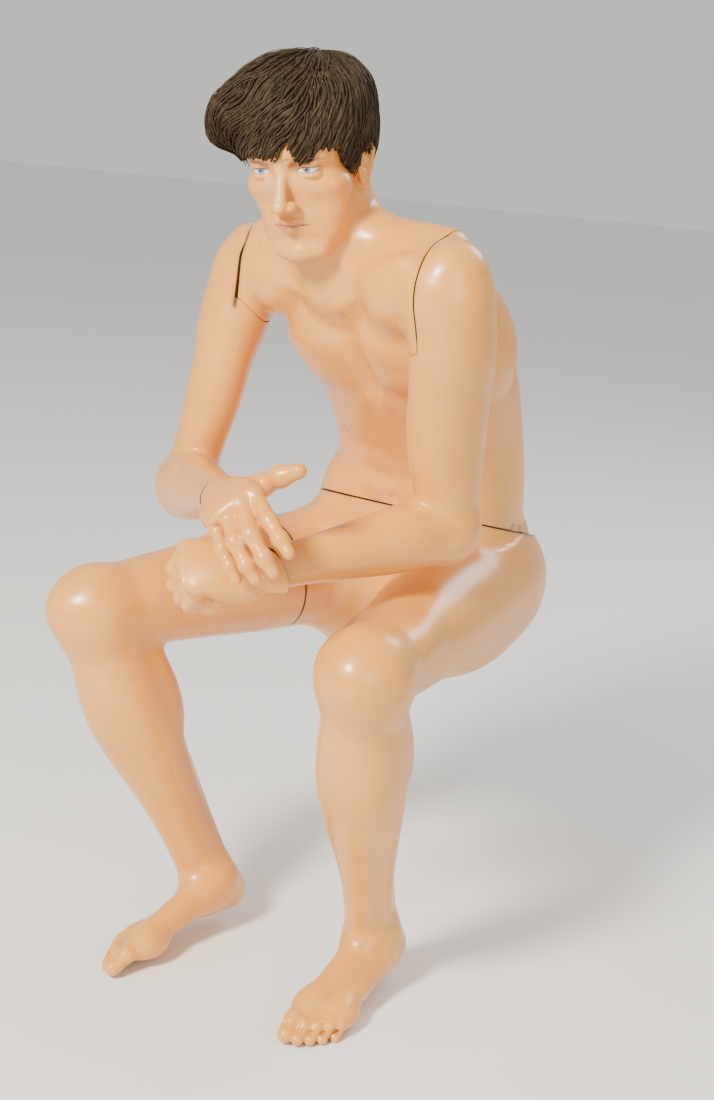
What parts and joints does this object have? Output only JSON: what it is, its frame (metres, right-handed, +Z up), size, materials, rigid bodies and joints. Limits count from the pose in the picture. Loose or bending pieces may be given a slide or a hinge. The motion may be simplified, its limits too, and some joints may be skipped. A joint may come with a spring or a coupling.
{
  "type": "full body mannequin",
  "caption": "Seated full-size display mannequin leaning forward with crossed wrists, hollow shell, lift-off torso, turning arms and leg, draw-off hands and a wig.",
  "frame": {"origin": "on the flat seat face under the pelvis, midway between the hips", "axes": "+Z up, -Y the way the figure faces, +X to the figure's own left"},
  "size_m": [0.5592, 0.7218, 1.2309],
  "materials": {
    "skin": "semi-gloss sprayed paint",
    "board": "raw plywood",
    "steel": "zinc plated",
    "cap": "woven net",
    "hair": "brushed fibre"
  },
  "bodies": {
    "pelvis": {"pelvis_shell": "skin", "waist_lower_board": "board", "waist_post": "steel", "waist_post_screws": "steel", "waist_locating_pin": "steel", "right_thigh_fixed_board": "board", "right_thigh_keyhole_plate": "steel", "right_thigh_plate_screws": "steel"},
    "right_leg": {"right_leg_shell": "skin", "right_thigh_moving_board": "board", "right_thigh_stud": "steel", "right_thigh_nut": "steel"},
    "torso": {"torso_shell": "skin", "waist_upper_board": "board", "waist_socket": "steel", "waist_socket_screws": "steel", "left_shoulder_fixed_board": "board", "left_shoulder_keyhole_plate": "steel", "left_shoulder_plate_screws": "steel", "right_shoulder_fixed_board": "board", "right_shoulder_keyhole_plate": "steel", "right_shoulder_plate_screws": "steel"},
    "left_arm": {"left_arm_shell": "skin", "left_wrist_forearm_plug": "board", "left_shoulder_moving_board": "board", "left_shoulder_stud": "steel", "left_shoulder_nut": "steel"},
    "right_arm": {"right_arm_shell": "skin", "right_wrist_forearm_plug": "board", "right_shoulder_moving_board": "board", "right_shoulder_stud": "steel", "right_shoulder_nut": "steel"},
    "left_hand_unit": {"left_hand": "skin", "left_wrist_spigot": "steel"},
    "right_hand_unit": {"right_hand": "skin", "right_wrist_spigot": "steel"},
    "wig": {"wig_cap": "cap", "wig_hair": "hair"}
  },
  "joints": [
    {"name": "torso_lift", "type": "slide", "parent": "pelvis", "child": "torso", "axis": [0.0502, 0.2611, 0.964], "range_m": [0, 0.15]},
    {"name": "right_leg_turn", "type": "hinge", "parent": "pelvis", "child": "right_leg", "pos_m": [-0.16936, -0.13792, 0.08136], "axis": [0.451, 0.8909, 0.0539], "range_deg": [0, 25]},
    {"name": "right_arm_turn", "type": "hinge", "parent": "torso", "child": "right_arm", "pos_m": [-0.18908, -0.18085, 0.51264], "axis": [-0.9955, 0.05, 0.08], "range_deg": [0, 30]},
    {"name": "left_arm_turn", "type": "hinge", "parent": "torso", "child": "left_arm", "pos_m": [0.1262, -0.31362, 0.532], "axis": [-0.9854, 0.1701, 0], "range_deg": [0, 30]},
    {"name": "left_hand_draw", "type": "slide", "parent": "left_arm", "child": "left_hand_unit", "axis": [-0.517, -0.8507, -0.0953], "range_m": [0, 0.01]},
    {"name": "right_hand_draw", "type": "slide", "parent": "right_arm", "child": "right_hand_unit", "axis": [0.5791, -0.7887, 0.2063], "range_m": [0, 0.03]},
    {"name": "wig_lift", "type": "slide", "parent": "torso", "child": "wig", "axis": [-0.1001, -0.2705, 0.9575], "range_m": [0, 0.12]}
  ],
  "couplings": [
    {"joint": "left_arm_turn", "follows": "right_arm_turn", "ratio": 0.85}
  ]
}
